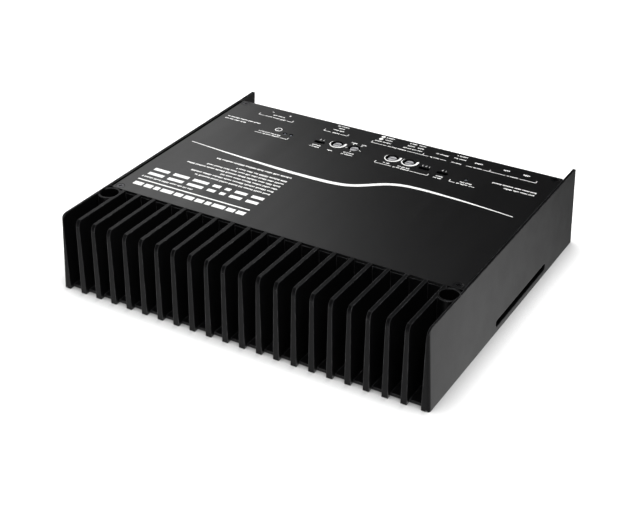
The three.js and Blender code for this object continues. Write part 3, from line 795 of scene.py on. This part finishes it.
def printed_cover():
    ink = Print(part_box("top_cover")[1].z)
    maker_block(ink)
    points, widths = accent_points()
    ink.stroke(points, widths)
    control_legend(ink)
    connector_legend(ink)
    for y, width in ((66.2, 31), (62.4, 21)):
        ink.words(117, y, width, 1.5, align="left")
    for y, width in ((62.7, 18), (66.3, 28)):
        ink.words(-120.5, y, width, 1.5, align="right")
    make_piece("cover_print", ink.mesh, WHITE_INK)


# ---- Small parts on the connector side -------------------------------------------------------------


def ring_of_points(mesh, place, turn, height, radii):
    count = len(radii)
    angles = [math.tau * i / count for i in range(count)]
    return [
        mesh.verts.new(place + turn @ Vector((r * math.cos(a), r * math.sin(a), height)) * MM)
        for r, a in zip(radii, angles)
    ]


def turned(mesh, place, axis, levels, hollow=False):
    """A shape turned about an axis. Each level is a height and one radius for each of its points, in
    millimetres, along the outline; a hollow one joins its last level to its first."""
    turn = Vector(axis).to_track_quat("Z", "Y").to_matrix()
    rings = [ring_of_points(mesh, place, turn, height, radii) for height, radii in levels]
    pairs = list(zip(rings, rings[1:]))
    if hollow:
        pairs.append((rings[-1], rings[0]))
    else:
        mesh.faces.new(rings[0])
        mesh.faces.new(rings[-1])
    for lower, upper in pairs:
        for i in range(len(lower)):
            j = (i + 1) % len(lower)
            mesh.faces.new((lower[i], lower[j], upper[j], upper[i]))


def tube(mesh, place, axis, inner, outer, start, end, sides=24):
    """A round sleeve with small chamfers at both ends."""
    edge = min(outer - inner, end - start) * 0.2
    levels = [
        (start, inner),
        (start, outer - edge),
        (start + edge, outer),
        (end - edge, outer),
        (end, outer - edge),
        (end, inner),
    ]
    turned(mesh, place, axis, [(height, [radius] * sides) for height, radius in levels], hollow=True)


def recess_radii(arms, length, width, sides=32):
    """The outline of a driver recess with one slot or two crossed ones, as a radius for each angle."""
    radii = []
    for i in range(sides):
        best = 0.0
        for arm in range(arms):
            angle = math.tau * i / sides - arm * math.pi / 2
            across, along = max(abs(math.sin(angle)), 1e-6), max(abs(math.cos(angle)), 1e-6)
            best = max(best, min(length / along, width / across))
        radii.append(best)
    return radii


def screw_head(mesh, place, axis, radius, height, arms):
    """A pan head, rounded at its rim, with a driver recess sunk in its face."""
    recess = recess_radii(arms, radius * 0.62, radius * 0.14)
    sides = len(recess)
    levels = [
        (0, [radius] * sides),
        (height * 0.55, [radius] * sides),
        (height * 0.85, [radius * 0.9] * sides),
        (height, [radius * 0.72] * sides),
        (height, recess),
        (height * 0.4, [r * 0.8 for r in recess]),
    ]
    turned(mesh, place, axis, levels)


def rod(mesh, start, end, radius, sides=8):
    """A thin wire between two places."""
    length = (end - start).length / MM
    turned(mesh, start, end - start, [(0, [radius] * sides), (length, [radius] * sides)])


CORNER_INSET = 6 * MM  # from the panel's sides and top to its corner screws
LOWER_SCREW_RISE = 14 * MM
HEADER_SCREWS = (31 * MM, -18 * MM)  # across the panel, over the plugs and sockets
HEADER_SCREW_DROP = 7 * MM
WIRE_HEIGHT = 17.6 * MM  # the middle of the round wire entries


def panel_screws():
    """Pan-head screws that hold the panel and the jacks behind it."""
    low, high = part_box("connector_panel")
    mesh = bmesh.new()
    sides = (low.x + CORNER_INSET, high.x - CORNER_INSET)
    places = [(x, z) for x in sides for z in (low.z + LOWER_SCREW_RISE, high.z - CORNER_INSET)]
    places += [(x, high.z - HEADER_SCREW_DROP) for x in HEADER_SCREWS]
    middle = (centre("phono_input_upper") + centre("phono_output_lower")) / 2
    places.append((middle.x, middle.z))
    for x, z in places:
        screw_head(mesh, Vector((x, high.y, z)), (0, 1, 0), 2.7, 1.7, arms=2)
    make_piece("panel_screws", mesh, MATERIALS["screw_black"])


def phono_rings():
    """A coloured collar and mouth insert on each phono barrel: white above and red below."""
    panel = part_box("connector_panel")[1].y
    for level, ink in (("upper", WHITE_INSERT), ("lower", RED_INSERT)):
        mesh = bmesh.new()
        for name in ("input", "output"):
            low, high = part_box(f"phono_{name}_{level}")
            radius = (high.x - low.x) / 2 / MM
            middle = (low + high) / 2
            collar = Vector((middle.x, panel, middle.z))
            tube(mesh, collar, (0, 1, 0), radius + 0.05, radius + 1.5, 0.1, 1.9)
            mouth = Vector((middle.x, high.y, middle.z))
            tube(mesh, mouth, (0, 1, 0), 1.65, 3.0, 0.02, 0.3)
        make_piece(f"phono_rings_{level}", mesh, ink)


def jack_contacts():
    """Six sprung wires that slope down into the mouth of each modular jack."""
    mesh = bmesh.new()
    for name in ("level_jack", "link_jack"):
        low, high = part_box(name)
        middle = (low.x + high.x) / 2
        for i in range(6):
            x = middle + (i - 2.5) * 1.02 * MM
            root = Vector((x, low.y + 6.2 * MM, low.z + 8.6 * MM))
            bend = Vector((x, high.y - 4.5 * MM, low.z + 5.6 * MM))
            rod(mesh, root, bend, 0.2)
            rod(mesh, bend, Vector((x, high.y - 2.5 * MM, low.z + 8.6 * MM)), 0.2)
    make_piece("jack_contacts", mesh, MATERIALS["brass"])


def wire_clamps():
    """Plated sleeves in the round wire entries, clear of the clamp screws that come down between them."""
    mesh = bmesh.new()
    for name in ("power", "speaker"):
        low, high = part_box(f"{name}_terminal_block")
        for i in (1, 2):
            screw_low, screw_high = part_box(f"{name}_clamp_screw_{i}")
            middle = Vector((centre(f"{name}_clamp_screw_{i}").x, 0, WIRE_HEIGHT))
            for start, end in ((low.y + 5 * MM, screw_low.y), (screw_high.y, high.y)):
                tube(mesh, middle, (0, 1, 0), 3.9, 4.55, start / MM + 0.4, end / MM - 0.3)
    make_piece("wire_clamps", mesh, MATERIALS["brass"])


def plug_screws():
    """A small slotted wire screw in each well of the two plugs."""
    for name, ways in (("remote_plug", 3), ("speaker_input_plug", 4)):
        low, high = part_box(name)
        mesh = bmesh.new()
        pitch = (high.x - low.x) / ways
        for i in range(ways):
            x = low.x + (i + 0.5) * pitch
            place = Vector((x, high.y - 5.4 * MM, high.z - 1.95 * MM))
            screw_head(mesh, place, (0, 0, 1), pitch / MM * 0.29, 1.3, arms=1)
        make_piece(f"{name}_screws", mesh, MATERIALS["steel"], body=name)


make_camera()
make_studio()
finish_nodes()
printed_cover()
panel_screws()
phono_rings()
jack_contacts()
wire_clamps()
plug_screws()
